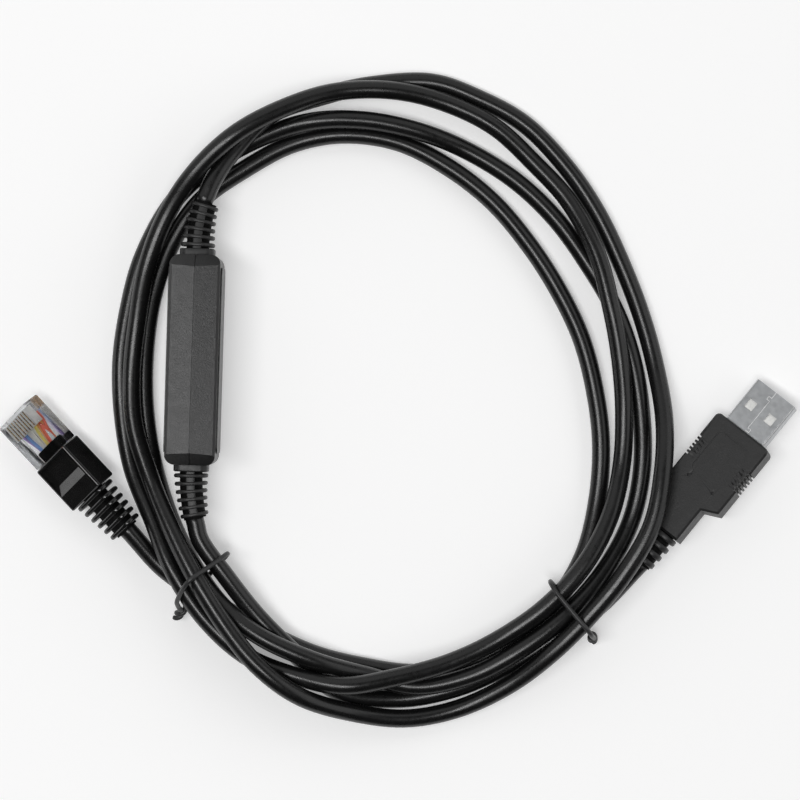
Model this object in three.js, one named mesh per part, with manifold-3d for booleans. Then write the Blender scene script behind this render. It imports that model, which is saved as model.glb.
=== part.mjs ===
// A console lead: a USB plug, an inline converter and a modular plug on one cable,
// laid in four loose turns and held by two coated wire ties. Millimetres, Z up.
import * as THREE from "three";
import { mergeVertices } from "three/addons/utils/BufferGeometryUtils.js";
import Module from "manifold-3d";

const wasm = await Module();
wasm.setup();

// Clearances
const SEAT = 0.3; // between a cable end and what it comes out of
const FIT = 0.12; // round a piece that sits in a pocket
const THROUGH = 1; // how far a cutter runs past the face that it cuts

// Cable
const CORD_D = 4.6;
const CORD_SIDES = 10;
const CORD_STEP = 9.2;

// Cable routes: the middle of the cable, from the USB side to the modular plug
const USB_ROUTE = [
  [59.5, -41.5, 5.9], [50, -51.5, 4.5], [39, -59.5, 3.9], [26.5, -67, 2.5], [13.5, -72.5, 2.5], [-0.5, -75, 2.5],
  [-15.5, -73, 4.8], [-25.5, -64, 7], [-35.5, -54, 7.7], [-44, -43, 9.6], [-49.4, -35.4, 10], [-50.9, -30.4, 10],
];
const PLUG_ROUTE = [
  [-48.4, 50.4, 10], [-46.2, 55.2, 9.6], [-41.6, 62, 8.3], [-32.5, 71.1, 7.3], [-20, 76, 3.5], [-7.5, 79, 2.5],
  [7.5, 79.8, 2.5], [19.9, 75.6, 2.5], [31.6, 69, 2.5], [41.8, 58.4, 2.5], [49.5, 47, 2.5], [55.5, 34.5, 2.5],
  [60.5, 21.5, 2.5], [64, 8.5, 3.5], [66, -5, 7], [65.3, -18, 11], [62.5, -31.1, 12], [55.9, -42.8, 11.5],
  [47.6, -53.2, 10.2], [38, -63, 8.2], [27.5, -71.2, 5], [15, -77.3, 3], [1.5, -79.8, 4.1], [-12, -78, 7.2],
  [-24.6, -73.6, 13.2], [-34.8, -66, 15.7], [-43.3, -55.8, 14.3], [-50.6, -44.2, 13.5], [-56.7, -32.3, 11.3], [-62, -20, 8.5],
  [-66.3, -6.5, 7], [-67, 6.5, 6.5], [-65.5, 20.5, 7], [-63, 34, 7], [-58, 46.5, 8.4], [-50.5, 57.2, 11.3],
  [-40.5, 66.2, 13.1], [-28.5, 72.7, 11.5], [-16, 76.8, 8.4], [-2, 77.3, 7], [11, 74.5, 5], [23.5, 68.5, 4.4],
  [33.6, 59.5, 2.8], [42.5, 49.5, 4], [49, 37, 6.5], [52.5, 24, 7.5], [55, 10.5, 6.5], [56.1, -3.5, 5],
  [55.4, -17, 5], [52.1, -29.8, 7.5], [45.4, -41.8, 9], [35.7, -52, 9], [24, -60, 8], [12, -65.5, 8.9],
  [-1.5, -69, 11.3], [-14.5, -70.8, 13], [-27.5, -68.2, 10.3], [-39, -63.3, 8.8], [-49, -54, 9], [-56.5, -42.5, 9.3],
  [-61.8, -30, 6.6], [-67, -17.5, 3.5], [-69.5, -4.5, 2.5], [-70, 9.5, 2.5], [-68, 23.5, 2.5], [-64.5, 36, 2.5],
  [-57.5, 49, 2.5], [-48, 58.3, 2.5], [-36, 65.3, 3.6], [-22.5, 69.5, 6.5], [-9, 69.9, 6.3], [4.5, 67.3, 5.1],
  [17, 62.5, 2.5], [29, 55, 2.5], [39, 45.5, 2.5], [47, 34.5, 2.5], [54, 22.5, 2.5], [58.5, 9.5, 2.5],
  [60.7, -4.5, 2.5], [60.7, -18, 2.5], [57.7, -31.2, 2.5], [50.9, -43.1, 4.5], [41.5, -53.5, 7.4], [30.5, -62, 7.9],
  [18.5, -68.5, 7], [4.5, -71.5, 6.7], [-8.5, -68.7, 7.3], [-21.5, -64.7, 11.3], [-34.5, -58.8, 12.1], [-44.5, -51, 9.1],
  [-52, -40.5, 7.6], [-58, -28.5, 3.9], [-62, -15.5, 2.5], [-64, -2, 2.5], [-64, 12, 2.5], [-62, 26, 2.5],
  [-57.5, 39, 2.5], [-50, 50, 2.8], [-38.9, 58, 2.5], [-26.9, 64.3, 2.5], [-14, 66.6, 3], [-0.4, 64.7, 2.5],
  [12, 58.5, 2.5], [23, 50, 2.5], [32, 39.5, 2.5], [39.5, 28, 2.5], [45.5, 15.5, 2.5], [49, 2, 2.5],
  [50.5, -11.5, 2.5], [49.5, -25.5, 2.5], [46, -39, 3.5], [39, -50.5, 4], [29, -59.5, 3.5], [17, -66, 2.8],
  [4, -68.5, 2.5], [-9, -66.9, 2.5], [-22, -63.6, 2.5], [-35.5, -57.3, 2.5], [-48, -49.8, 4.2], [-59, -42.5, 4.2],
  [-67.6, -32.9, 6.2],
];

// Wire ties: [outward, up, sideways] from the knot over the bundle and back beneath it
const TIE_D = 1.2;
const TIE_TWIST_RADIUS = 0.78;
const TIE_TURNS = 1.1;
const TIE_STEPS = 84;
const TIE_SIDES = 8;
const LEFT_TIE = {
  at: [-50.1, -45.4],
  outward: -135,
  loop: [[7.9, 8.6, 0.6], [6.9, 11.5, -0.5], [3.2, 16, -1.6], [0.8, 17.4, -1.9], [-1.6, 17, -1.6], [-5.1, 15.1, -0.9],
    [-8.5, 13, -0.3], [-10.2, 10.1, 0], [-8.5, 6.8, 0.2], [-3.9, 4, 0.4], [0.8, 1.4, 0.8], [3.7, 1.1, 1.2],
    [6, 3.2, 1.7]],
  knot: [7.7, 5.9, 1.9],
  tip: [10.7, 2.3, 2.2],
};
const RIGHT_TIE = {
  at: [42.9, -51.4],
  outward: -48.7,
  loop: [[8.9, 9.2, -1.2], [7.9, 12.1, -1.1], [5.1, 13.4, -1], [0, 13.1, -0.9], [-4.9, 12.8, -0.7], [-7.5, 11.4, -0.3],
    [-8.2, 8.5, 0], [-7.4, 3.6, 0], [-6.3, 1.5, 0], [-3.7, 0.7, 0], [0.6, 0.7, -0.2], [4.7, 0.8, -0.5],
    [7, 1.6, -0.9], [8.1, 3.2, -1.1]],
  knot: [9.1, 5.9, -1.1],
  tip: [10.3, 1.8, -1.7],
};

// Converter housing, standing on its narrow side
const CASE_LONG = 52;
const CASE_WIDE = 12.5;
const CASE_TALL = 20;
const CASE_CORNER = 2.4;
const CASE_END_CHAMFER = 3;
const CASE_EDGE_CHAMFER = 0.6;
const CASE_DRAFT = 0.35;
const CASE_PANEL_MARGIN = 3;
const CASE_PANEL_PROUD = 0.4;
const CASE_PANEL_CORNER = 2;
const CASE_PARTING = 0.25;
const CASE_AT = [-51.1, 9.9];
const CASE_LEAN = -1.7;

// Strain reliefs of the converter
const COLLAR_WIDE = 8.6;
const COLLAR_TALL = 9;
const COLLAR_LONG = 1.7;
const COLLAR_DEEP = 1;
const CASE_RELIEF_LONG = 13.4;
const CASE_RELIEF_END = 6.8;
const CASE_RELIEF_SLOTS = 5;
const CASE_RELIEF_CORE = 5.8;
const CASE_RELIEF_SPINE = 2.1;
const USB_SIDE_BEND = -13;
const PLUG_SIDE_BEND = -16;

// USB plug
const SHELL_WIDE = 12;
const SHELL_TALL = 4.5;
const SHELL_OUT = 12.6;
const SHELL_IN = 3.5;
const SHELL_WALL = 0.35;
const SHELL_CORNER = 0.6;
const WINDOW_WIDE = 2.3;
const WINDOW_LONG = 2.5;
const WINDOW_APART = 6.2;
const WINDOW_FROM_TIP = 6.3;
const SEAM = 0.2;
const TONGUE_TALL = 1.75;
const TONGUE_SHORT = 0.8;
const CONTACT_WIDE = 1;
const CONTACT_THICK = 0.2;
const CONTACT_LONG = 8;
const CONTACT_GAP = 0.1;
const CONTACT_PITCHES = [-3.5, -1, 1, 3.5];
const GRIP_WIDE = 16.5;
const GRIP_TALL = 7.6;
const GRIP_LONG = 20.2;
const GRIP_CORNER = 1.3;
const GRIP_STEP = 1.9;
const GRIP_SLANT = 7;
const GRIP_BEVEL = 0.5;
const NECK_WIDE = 8.4;
const NECK_LONG = 9.7;
const RIDGE_COUNT = 6;
const RIDGE_PITCH = 1.05;
const RIDGE_CUT = 0.5;
const RIDGE_DEEP = 0.8;
const RIDGE_INWARD = 2.6;
const RIDGE_FROM_FRONT = 7.4;
const PANEL_WIDE = 9.6;
const PANEL_LONG = 12.3;
const PANEL_FROM_FRONT = 3.3;
const PANEL_CORNER = 1.8;
const PANEL_DEEP = 0.2;
const PIN_D = 0.9;
const PIN_APART = 7.6;
const PIN_FROM_FRONT = 17;
const PIN_DEEP = 0.6;
const USB_RELIEF_LONG = 10;
const USB_RELIEF_WIDE = 7.6;
const USB_RELIEF_END = 6.2;
const USB_RELIEF_TALL = 6.8;
const USB_RELIEF_RIBS = 4;
const USB_RELIEF_CORE = 5.4;
const USB_AT = [86.4, -8.4, 5.95];
const USB_TURN = -39.1;
const USB_ROLL = -17;

// Modular plug
const BODY_WIDE = 11.68;
const BODY_TALL = 6.5;
const BODY_OUT = 14.2;
const TAIL_WIDE = 10.4;
const TAIL_TALL = 4.6;
const TAIL_LONG = 6;
const BODY_BEVEL = 0.25;
const BLADES = 8;
const BLADE_PITCH = 1.02;
const BLADE_THICK = 0.34;
const BLADE_LONG = 4.6;
const BLADE_TALL = 2.5;
const BLADE_FROM_FRONT = 1.2;
const BLADE_SUNK = 0.45;
const WIRE_D = 0.92;
const WIRE_FROM_FRONT = 3.4;
const WIRE_DROP = 0.55;
const JACKET_WIDE = 7.8;
const JACKET_TALL = 3.4;
const JACKET_FROM_FRONT = 12.2;
const LATCH_WIDE = 6;
const LATCH_LONG = 12.6;
const LATCH_THICK = 0.8;
const LATCH_DROP = 2.2;
const LATCH_FROM_TIP = 0.6;
const LATCH_ROOT = 1;
const LATCH_KNEE = 5.2;
const LATCH_KNEE_DROP = 1.5;
const BOOT_WIDE = 12.6;
const BOOT_TALL = 7.4;
const BOOT_LONG = 13.4;
const BOOT_CORNER = 0.9;
const BOOT_WINDOW_RIM = 0.8;
const BOOT_WINDOW_LONG = 5.6;
const BOOT_RAMP_LONG = 2.5;
const BOOT_WINDOW_SIDE = 0.9;
const BOOT_WINDOW_DEEP = 1;
const BOOT_RELIEF_LONG = 12.6;
const BOOT_RELIEF_WIDE = 12.2;
const BOOT_RELIEF_END = 9.3;
const BOOT_RELIEF_TALL = 7.2;
const BOOT_RELIEF_END_TALL = 6.2;
const BOOT_RELIEF_RIBS = 6;
const BOOT_RELIEF_CORE = 6;
const PLUG_AT = [-95.6, -2.9, 6.35];
const PLUG_TURN = 43;
const PLUG_ROLL = -35;

const radians = THREE.MathUtils.degToRad;

// Solids and geometry
function solidOf(geometry) {
  const plain = geometry.clone();
  plain.deleteAttribute("normal");
  plain.deleteAttribute("uv");
  const merged = mergeVertices(plain, 1e-4);
  return new wasm.Manifold(
    new wasm.Mesh({
      numProp: 3,
      vertProperties: merged.attributes.position.array,
      triVerts: new Uint32Array(merged.index.array),
    }),
  );
}

function geometryOf(solid) {
  const { vertProperties, triVerts } = solid.getMesh();
  const geometry = new THREE.BufferGeometry();
  geometry.setAttribute("position", new THREE.BufferAttribute(vertProperties, 3));
  geometry.setIndex(new THREE.BufferAttribute(triVerts, 1));
  const faceted = geometry.toNonIndexed();
  faceted.computeVertexNormals();
  return faceted;
}

function roundedShape(wide, tall, corner) {
  const x = wide / 2 - corner;
  const y = tall / 2 - corner;
  const shape = new THREE.Shape();
  shape.absarc(x, y, corner, 0, Math.PI / 2);
  shape.absarc(-x, y, corner, Math.PI / 2, Math.PI);
  shape.absarc(-x, -y, corner, Math.PI, 1.5 * Math.PI);
  shape.absarc(x, -y, corner, 1.5 * Math.PI, 2 * Math.PI);
  shape.closePath();
  return shape;
}

function prism(shape, depth, curveSegments = 4, bevel = 0) {
  return new THREE.ExtrudeGeometry(shape, {
    depth: depth - 2 * bevel,
    curveSegments,
    bevelEnabled: bevel > 0,
    bevelThickness: bevel,
    bevelSize: bevel,
    bevelOffset: -bevel,
    bevelSegments: 1,
  }).translate(0, 0, bevel);
}

// A rounded bar along -Y from y = 0, its section wide in X and tall in Z.
function bar(wide, tall, long, corner, curveSegments = 4, bevel = 0) {
  return prism(roundedShape(wide, tall, corner), long, curveSegments, bevel).rotateX(Math.PI / 2);
}

function block(wide, long, tall, x = 0, y = 0, z = 0) {
  return solidOf(new THREE.BoxGeometry(wide, long, tall).translate(x, y, z));
}

function mesh(name, geometry, { color, roughness, metalness = 0, opacity = 1 }) {
  const material = new THREE.MeshStandardMaterial({
    color,
    roughness,
    metalness,
    opacity,
    transparent: opacity < 1,
  });
  const made = new THREE.Mesh(geometry, material);
  made.name = name;
  return made;
}

const PVC = { color: 0x141416, roughness: 0.32 };
const GRIP_PLASTIC = { color: 0x2b2c2e, roughness: 0.62 };
const CASE_PLASTIC = { color: 0x2e2f32, roughness: 0.66 };
const BOOT_PLASTIC = { color: 0x0d0d0f, roughness: 0.24 };
const PLATED_STEEL = { color: 0xc9ccd0, roughness: 0.3, metalness: 1 };
const GOLD = { color: 0xc79a4b, roughness: 0.3, metalness: 1 };
const CLEAR = { color: 0xe6e9ea, roughness: 0.1, opacity: 0.35 };
const WHITE_PLASTIC = { color: 0xf1f1ee, roughness: 0.5 };

// Cable
function sweep(points, diameter, sides, steps) {
  const path = new THREE.CatmullRomCurve3(points, false, "catmullrom", 0.5);
  path.arcLengthDivisions = 4000;
  const round = new THREE.Shape();
  for (let i = 0; i < sides; i++) {
    const angle = (2 * Math.PI * i) / sides;
    const [x, y] = [(diameter / 2) * Math.cos(angle), (diameter / 2) * Math.sin(angle)];
    if (i) round.lineTo(x, y);
    else round.moveTo(x, y);
  }
  round.closePath();
  return new THREE.ExtrudeGeometry(round, {
    steps: steps ?? Math.round(path.getLength() / CORD_STEP),
    extrudePath: path,
    curveSegments: 1,
    bevelEnabled: false,
  });
}

function cord(name, route) {
  const points = route.map(([x, y, z]) => new THREE.Vector3(x, y, z));
  return mesh(name, sweep(points, CORD_D, CORD_SIDES), PVC);
}

// A tie is one wire: in along the twist, round the bundle and out along the twist again.
function tie(name, { at, outward, loop, knot, tip }) {
  const out = new THREE.Vector3(Math.cos(radians(outward)), Math.sin(radians(outward)), 0);
  const along = new THREE.Vector3(-out.y, out.x, 0);
  const place = (u, z, s) => new THREE.Vector3(at[0], at[1], z).addScaledVector(out, u).addScaledVector(along, s);
  const [from, to] = [place(...knot), place(...tip)];
  const axis = to.clone().sub(from).normalize();
  const side = new THREE.Vector3().crossVectors(axis, along).normalize();
  const up = side.z < 0 ? side.negate() : side;
  const across = new THREE.Vector3().crossVectors(axis, up);
  const samples = 9;
  const strand = (share, half) => {
    const angle = 2 * Math.PI * TIE_TURNS * share + half;
    return from.clone().lerp(to, share)
      .addScaledVector(up, TIE_TWIST_RADIUS * Math.cos(angle))
      .addScaledVector(across, TIE_TWIST_RADIUS * Math.sin(angle));
  };
  const points = [];
  for (let i = samples; i >= 0; i--) points.push(strand(i / samples, 0));
  for (const point of loop) points.push(place(...point));
  for (let i = 0; i <= samples; i++) points.push(strand(i / samples, Math.PI));
  return mesh(name, sweep(points, TIE_D, TIE_SIDES, TIE_STEPS), PVC);
}

// Strain relief: ribs on a core along -Y, bent sideways by an even curve.
function bendAt(share, long, bend) {
  const angle = radians(bend) * share;
  const turned = radians(bend);
  const radius = Math.abs(turned) > 1e-6 ? long / turned : 0;
  const x = radius ? radius * (1 - Math.cos(angle)) : 0;
  const y = radius ? -radius * Math.sin(angle) : -share * long;
  return { x: -x, y, angle: -angle };
}

function reliefSolid({ long, wide, endWide, tall, endTall, core, ribs, gapShare, spine = 0, bend = 0 }) {
  const pitch = long / ribs;
  const gap = pitch * gapShare;
  const solids = [];
  const lay = (geometry, share) => {
    const { x, y, angle } = bendAt(share, long, bend);
    return solidOf(geometry.rotateZ(angle).translate(x, y, 0));
  };
  for (let i = 0; i < ribs; i++) {
    const share = (i + 0.5) / ribs;
    const w = THREE.MathUtils.lerp(wide, endWide, share);
    const t = THREE.MathUtils.lerp(tall, endTall, share);
    const corner = Math.min(w, t) * 0.42;
    solids.push(lay(bar(w, t, pitch - gap, corner, 3).translate(0, (pitch - gap) / 2, 0), share));
    solids.push(lay(bar(core, core, pitch * 1.08, core * 0.42, 2).translate(0, pitch * 0.54, 0), share));
    if (spine && i > 0) {
      const rib = new THREE.BoxGeometry(spine, gap * 1.5, t * 0.94);
      solids.push(lay(rib, i / ribs));
    }
  }
  return wasm.Manifold.union(solids);
}

// Converter
function caseBody(inset) {
  const long = CASE_LONG - 2 * inset;
  const wide = CASE_WIDE - 2 * inset;
  const top = CASE_TALL - inset;
  const plan = solidOf(prism(roundedShape(wide, long, CASE_CORNER - inset), CASE_TALL - 2 * inset, 5)
    .translate(0, 0, inset));
  const side = new THREE.Shape();
  const c = CASE_END_CHAMFER;
  side.moveTo(-long / 2 + c, inset).lineTo(long / 2 - c, inset).lineTo(long / 2, inset + c);
  side.lineTo(long / 2, top - c).lineTo(long / 2 - c, top).lineTo(-long / 2 + c, top);
  side.lineTo(-long / 2, top - c).lineTo(-long / 2, inset + c).closePath();
  const sideSolid = solidOf(prism(side, CASE_WIDE + 2 * THROUGH)
    .rotateX(Math.PI / 2).rotateZ(Math.PI / 2).translate(-CASE_WIDE / 2 - THROUGH, 0, 0));
  const e = CASE_EDGE_CHAMFER;
  const end = new THREE.Shape();
  end.moveTo(-wide / 2 + e, inset).lineTo(wide / 2 - e, inset).lineTo(wide / 2, inset + e);
  end.lineTo(wide / 2, top - CASE_DRAFT - e).lineTo(wide / 2 - e, top - CASE_DRAFT).lineTo(0, top);
  end.lineTo(-wide / 2 + e, top - CASE_DRAFT).lineTo(-wide / 2, top - CASE_DRAFT - e);
  end.lineTo(-wide / 2, inset + e).closePath();
  const endSolid = solidOf(prism(end, CASE_LONG + 2 * THROUGH)
    .rotateX(Math.PI / 2).translate(0, CASE_LONG / 2 + THROUGH, 0));
  return plan.intersect(sideSolid).intersect(endSolid);
}

function caseGeometry() {
  const panelLong = CASE_LONG - 2 * CASE_PANEL_MARGIN;
  const panelTall = CASE_TALL - 2 * CASE_PANEL_MARGIN;
  const panels = solidOf(prism(roundedShape(panelTall, panelLong, CASE_PANEL_CORNER),
    CASE_WIDE + 2 * CASE_PANEL_PROUD).rotateY(Math.PI / 2)
    .translate(-CASE_WIDE / 2 - CASE_PANEL_PROUD, 0, CASE_TALL / 2));
  const groove = block(CASE_PARTING, CASE_LONG + 2 * THROUGH, CASE_TALL + 2 * THROUGH, 0, 0, CASE_TALL / 2)
    .subtract(caseBody(CASE_PARTING));
  let body = caseBody(0).add(panels).subtract(groove);
  for (const turn of [0, Math.PI]) {
    const pocket = bar(COLLAR_WIDE + 2 * FIT, COLLAR_TALL + 2 * FIT, COLLAR_DEEP + FIT + THROUGH, 2)
      .translate(0, CASE_LONG / 2 + THROUGH, CASE_TALL / 2).rotateZ(turn);
    body = body.subtract(solidOf(pocket));
  }
  return geometryOf(body);
}

function caseRelief(bend) {
  const collar = solidOf(bar(COLLAR_WIDE, COLLAR_TALL, COLLAR_LONG + COLLAR_DEEP, 2, 3)
    .translate(0, COLLAR_DEEP, 0));
  const ribbed = reliefSolid({
    long: CASE_RELIEF_LONG - COLLAR_LONG,
    wide: COLLAR_WIDE,
    endWide: CASE_RELIEF_END,
    tall: COLLAR_TALL,
    endTall: CASE_RELIEF_END,
    core: CASE_RELIEF_CORE,
    ribs: CASE_RELIEF_SLOTS + 1,
    gapShare: 0.42,
    spine: CASE_RELIEF_SPINE,
    bend,
  }).translate([0, -COLLAR_LONG, 0]);
  const waist = block(CASE_RELIEF_CORE, 1.2, CASE_RELIEF_CORE, 0, -COLLAR_LONG, 0);
  return geometryOf(collar.add(ribbed).add(waist));
}

function converter() {
  const group = new THREE.Group();
  group.position.set(CASE_AT[0], CASE_AT[1], 0);
  group.rotation.z = radians(CASE_LEAN);
  group.add(mesh("converter_housing", caseGeometry(), CASE_PLASTIC));
  const usbSide = mesh("converter_relief_usb_side", caseRelief(USB_SIDE_BEND), PVC);
  usbSide.position.set(0, -CASE_LONG / 2, CASE_TALL / 2);
  const plugSide = mesh("converter_relief_plug_side", caseRelief(-PLUG_SIDE_BEND), PVC);
  plugSide.position.set(0, CASE_LONG / 2, CASE_TALL / 2);
  plugSide.rotation.z = Math.PI;
  group.add(usbSide, plugSide);
  return group;
}

// USB plug, its tip towards +Y and the front of its grip at y = 0
function shellGeometry() {
  const long = SHELL_OUT + SHELL_IN;
  const outer = solidOf(bar(SHELL_WIDE, SHELL_TALL, long, SHELL_CORNER, 3).translate(0, SHELL_OUT, 0));
  const inner = solidOf(bar(SHELL_WIDE - 2 * SHELL_WALL, SHELL_TALL - 2 * SHELL_WALL, long + 2 * THROUGH,
    SHELL_CORNER - SHELL_WALL, 3).translate(0, SHELL_OUT + THROUGH, 0));
  let shell = outer.subtract(inner);
  for (const side of [-1, 1]) {
    shell = shell.subtract(block(WINDOW_WIDE, WINDOW_LONG, SHELL_TALL + 2 * THROUGH,
      side * WINDOW_APART / 2, SHELL_OUT - WINDOW_FROM_TIP, 0));
  }
  return geometryOf(shell.subtract(seamSolid()));
}

// The butt seam down the middle of the shell, with a dovetail near each end.
function seamSolid() {
  const depth = SHELL_WALL / 2;
  const z = SHELL_TALL / 2 - depth / 2 + THROUGH / 2;
  const tall = depth + THROUGH;
  const key = 0.9;
  const strip = (x, from, to) => block(SEAM, to - from, tall, x, (from + to) / 2, z);
  const rung = (y, from, to) => block(to - from + SEAM, SEAM, tall, (from + to) / 2, y, z);
  const tip = SHELL_OUT + THROUGH;
  const front = SHELL_OUT - 1.8;
  const back = 1.4;
  const parts = [
    strip(0, front, tip),
    rung(front, -key, 0),
    strip(-key, front - key, front),
    rung(front - key, -key, 0),
    strip(0, back, front - key),
    rung(back, 0, key),
    strip(key, back - key, back),
    rung(back - key, 0, key),
    strip(0, -SHELL_IN, back - key),
  ];
  return wasm.Manifold.union(parts);
}

function tongueGeometry() {
  const wide = SHELL_WIDE - 2 * SHELL_CORNER - 2 * FIT;
  const long = SHELL_OUT + SHELL_IN - TONGUE_SHORT;
  const top = SHELL_TALL / 2 - SHELL_WALL - FIT;
  return geometryOf(solidOf(new THREE.BoxGeometry(wide, long, TONGUE_TALL)
    .translate(0, SHELL_OUT - TONGUE_SHORT - long / 2, top - TONGUE_TALL / 2)));
}

function usbContact(x) {
  const under = SHELL_TALL / 2 - SHELL_WALL - FIT - TONGUE_TALL - CONTACT_GAP;
  return new THREE.BoxGeometry(CONTACT_WIDE, CONTACT_LONG, CONTACT_THICK)
    .translate(x, SHELL_OUT - TONGUE_SHORT - 1 - CONTACT_LONG / 2, under - CONTACT_THICK / 2);
}

function gripOutline() {
  const half = GRIP_WIDE / 2;
  const neck = NECK_WIDE / 2;
  const stepEnd = -GRIP_LONG - GRIP_STEP;
  const shape = new THREE.Shape();
  shape.moveTo(neck, stepEnd).lineTo(half, -GRIP_LONG).lineTo(half, -GRIP_CORNER);
  shape.absarc(half - GRIP_CORNER, -GRIP_CORNER, GRIP_CORNER, 0, Math.PI / 2);
  shape.absarc(-half + GRIP_CORNER, -GRIP_CORNER, GRIP_CORNER, Math.PI / 2, Math.PI);
  shape.lineTo(-half, -GRIP_LONG).lineTo(-neck, -GRIP_LONG - GRIP_SLANT);
  shape.lineTo(-neck, stepEnd - NECK_LONG).lineTo(neck, stepEnd - NECK_LONG).closePath();
  return shape;
}

function gripGeometry() {
  const top = GRIP_TALL / 2;
  let grip = solidOf(prism(gripOutline(), GRIP_TALL, 4, GRIP_BEVEL).translate(0, 0, -top));
  grip = grip.subtract(solidOf(bar(SHELL_WIDE + 2 * FIT, SHELL_TALL + 2 * FIT, SHELL_IN + SEAT + THROUGH,
    SHELL_CORNER + FIT, 3).translate(0, THROUGH, 0)));
  const cuts = [];
  for (const side of [-1, 1]) {
    for (let i = 0; i < RIDGE_COUNT; i++) {
      const y = -RIDGE_FROM_FRONT - RIDGE_CUT / 2 - i * RIDGE_PITCH;
      const x = side * (GRIP_WIDE / 2 - RIDGE_DEEP / 2 + THROUGH / 2);
      cuts.push(block(RIDGE_DEEP + THROUGH, RIDGE_CUT, GRIP_TALL + 2 * THROUGH, x, y, 0));
      const lineX = side * (GRIP_WIDE / 2 - RIDGE_INWARD / 2);
      cuts.push(block(RIDGE_INWARD, RIDGE_CUT / 2, PANEL_DEEP * 2, lineX, y, top));
    }
    cuts.push(solidOf(new THREE.CylinderGeometry(PIN_D / 2, PIN_D / 2, PIN_DEEP * 2, 12)
      .rotateX(Math.PI / 2).translate(side * PIN_APART / 2, -PIN_FROM_FRONT, top)));
  }
  cuts.push(solidOf(prism(roundedShape(PANEL_WIDE, PANEL_LONG, PANEL_CORNER), PANEL_DEEP + THROUGH)
    .translate(0, -PANEL_FROM_FRONT - PANEL_LONG / 2, top - PANEL_DEEP)));
  grip = grip.subtract(wasm.Manifold.union(cuts));
  const relief = reliefSolid({
    long: USB_RELIEF_LONG,
    wide: USB_RELIEF_WIDE,
    endWide: USB_RELIEF_END,
    tall: USB_RELIEF_TALL,
    endTall: USB_RELIEF_END,
    core: USB_RELIEF_CORE,
    ribs: USB_RELIEF_RIBS,
    gapShare: 0.45,
  }).translate([0, -GRIP_LONG - GRIP_STEP - NECK_LONG, 0]);
  const root = block(USB_RELIEF_CORE, 2, USB_RELIEF_CORE * 0.9, 0, -GRIP_LONG - GRIP_STEP - NECK_LONG, 0);
  return geometryOf(grip.add(relief).add(root));
}

function usbPlug() {
  const group = new THREE.Group();
  group.position.set(...USB_AT);
  group.rotation.set(0, radians(USB_ROLL), radians(USB_TURN), "ZYX");
  group.add(mesh("usb_shell", shellGeometry(), PLATED_STEEL));
  group.add(mesh("usb_tongue", tongueGeometry(), WHITE_PLASTIC));
  CONTACT_PITCHES.forEach((x, i) => group.add(mesh(`usb_contact_${i + 1}`, usbContact(x), GOLD)));
  group.add(mesh("usb_grip", gripGeometry(), GRIP_PLASTIC));
  return group;
}

// Modular plug, its tip at y = 0 and its contact side up
const wireZ = -WIRE_DROP;
const bladeX = (i) => (i - (BLADES - 1) / 2) * BLADE_PITCH;

function bodyGeometry() {
  const front = solidOf(bar(BODY_WIDE, BODY_TALL, BODY_OUT, 0.3, 2, BODY_BEVEL));
  const tail = block(TAIL_WIDE, TAIL_LONG + 1, TAIL_TALL, 0, -BODY_OUT - TAIL_LONG / 2 + 0.5, 0);
  const end = BODY_OUT + TAIL_LONG + THROUGH;
  const cuts = [];
  for (let i = 0; i < BLADES; i++) {
    const tall = BLADE_TALL + BLADE_SUNK + FIT;
    cuts.push(block(BLADE_THICK + 2 * FIT, BLADE_LONG + 2 * FIT, tall + THROUGH, bladeX(i),
      -BLADE_FROM_FRONT - BLADE_LONG / 2, BODY_TALL / 2 + THROUGH / 2 - tall / 2));
  }
  const wiresWide = (BLADES - 1) * BLADE_PITCH + WIRE_D + 2 * FIT;
  const wiresLong = end - WIRE_FROM_FRONT + FIT;
  cuts.push(block(wiresWide, wiresLong, WIRE_D + 2 * FIT, 0, -WIRE_FROM_FRONT + FIT - wiresLong / 2, wireZ));
  const jacketLong = end - JACKET_FROM_FRONT + FIT;
  cuts.push(block(Math.max(JACKET_WIDE, wiresWide) + 2 * FIT, jacketLong, JACKET_TALL + 2 * FIT, 0,
    -JACKET_FROM_FRONT + FIT - jacketLong / 2, 0));
  return geometryOf(front.add(tail).subtract(wasm.Manifold.union(cuts)).add(latchSolid()));
}

// The spring latch under the plug, hinged at the tip and pressed part of the way in.
function latchSolid() {
  const bottom = -BODY_TALL / 2;
  const t = LATCH_THICK;
  const shape = new THREE.Shape();
  const tip = -LATCH_FROM_TIP;
  const root = LATCH_ROOT;
  shape.moveTo(tip, bottom + root / 2).lineTo(tip, bottom - root / 2).lineTo(tip - root, bottom - root);
  shape.lineTo(-LATCH_KNEE, bottom - LATCH_KNEE_DROP).lineTo(-LATCH_LONG, bottom - LATCH_DROP);
  shape.lineTo(-LATCH_LONG, bottom - LATCH_DROP + t).lineTo(-LATCH_KNEE, bottom - LATCH_KNEE_DROP + t);
  shape.lineTo(tip - root - t, bottom - root / 3).lineTo(tip - root - t / 2, bottom + root / 2).closePath();
  return solidOf(prism(shape, LATCH_WIDE).rotateX(Math.PI / 2).rotateZ(Math.PI / 2)
    .translate(-LATCH_WIDE / 2, 0, 0));
}

function bladeGeometry(i) {
  return new THREE.BoxGeometry(BLADE_THICK, BLADE_LONG, BLADE_TALL)
    .translate(bladeX(i), -BLADE_FROM_FRONT - BLADE_LONG / 2, BODY_TALL / 2 - BLADE_SUNK - BLADE_TALL / 2);
}

function wireGeometry(i) {
  const long = JACKET_FROM_FRONT - SEAT - WIRE_FROM_FRONT;
  return new THREE.CylinderGeometry(WIRE_D / 2, WIRE_D / 2, long, 8)
    .translate(bladeX(i), -WIRE_FROM_FRONT - long / 2, wireZ);
}

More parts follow.
